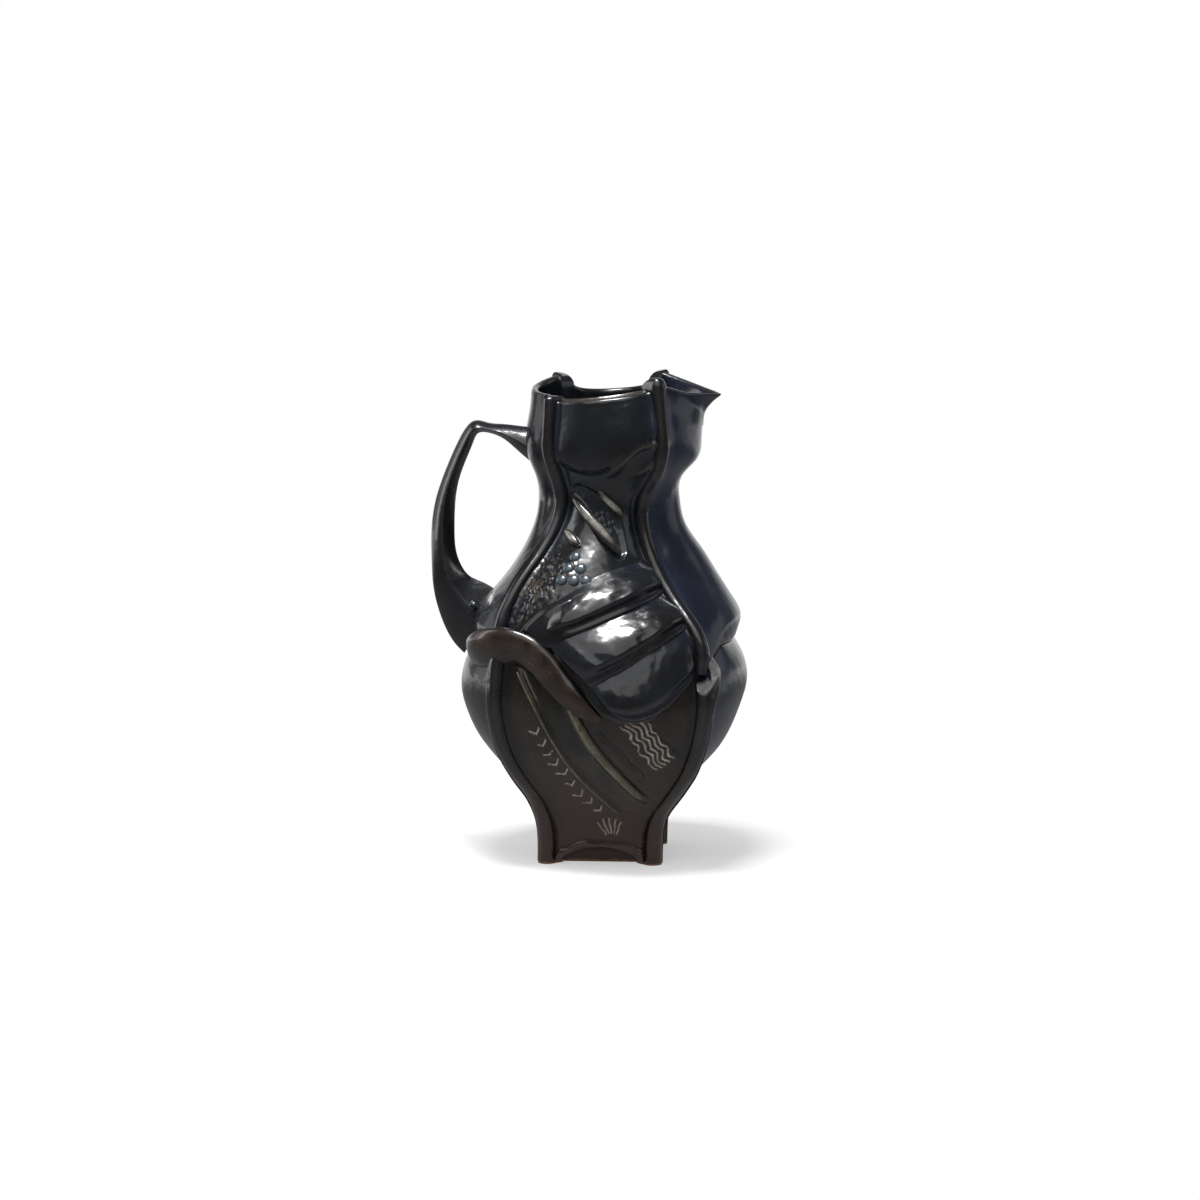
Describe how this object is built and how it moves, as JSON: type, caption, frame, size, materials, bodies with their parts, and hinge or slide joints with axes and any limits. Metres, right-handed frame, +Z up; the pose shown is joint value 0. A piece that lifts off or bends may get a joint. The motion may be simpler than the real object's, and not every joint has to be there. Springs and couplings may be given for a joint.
{
  "type": "pouring jug",
  "caption": "Slab-built glazed stoneware pouring jug with ribbed corners, a beaked spout, a strap handle and a square foot.",
  "frame": {"origin": "centre of the flat underside, in the plane that the jug stands on", "axes": "+Z up, +X towards the pouring spout, -X towards the handle, -Y towards the decorated front"},
  "size_m": [0.1832, 0.166, 0.28],
  "materials": {
    "dark_glaze": "gloss",
    "foot_clay": "satin"
  },
  "bodies": {
    "root": {"upper_left_wall": "dark_glaze", "upper_right_wall": "dark_glaze", "upper_back_panel": "dark_glaze", "upper_front_panel": "dark_glaze", "upper_front_left_rib": "dark_glaze", "upper_front_right_rib": "dark_glaze", "upper_back_left_rib": "dark_glaze", "upper_back_right_rib": "dark_glaze", "spout_beak": "dark_glaze", "lower_left_wall": "dark_glaze", "lower_right_wall": "dark_glaze", "lower_front_panel": "dark_glaze", "lower_back_panel": "dark_glaze", "lower_front_left_rib": "dark_glaze", "lower_front_right_rib": "dark_glaze", "lower_back_left_rib": "dark_glaze", "lower_back_right_rib": "dark_glaze", "base_block": "foot_clay", "handle": "dark_glaze", "handle_stud": "dark_glaze", "front_fold_upper": "dark_glaze", "front_fold_middle": "dark_glaze", "front_fold_lower": "dark_glaze", "neck_cord_long": "dark_glaze", "neck_cord_upper": "dark_glaze", "neck_cord_lower": "dark_glaze", "neck_pellets": "dark_glaze", "leaf_band": "dark_glaze", "seam_roll": "dark_glaze"}
  },
  "joints": []
}
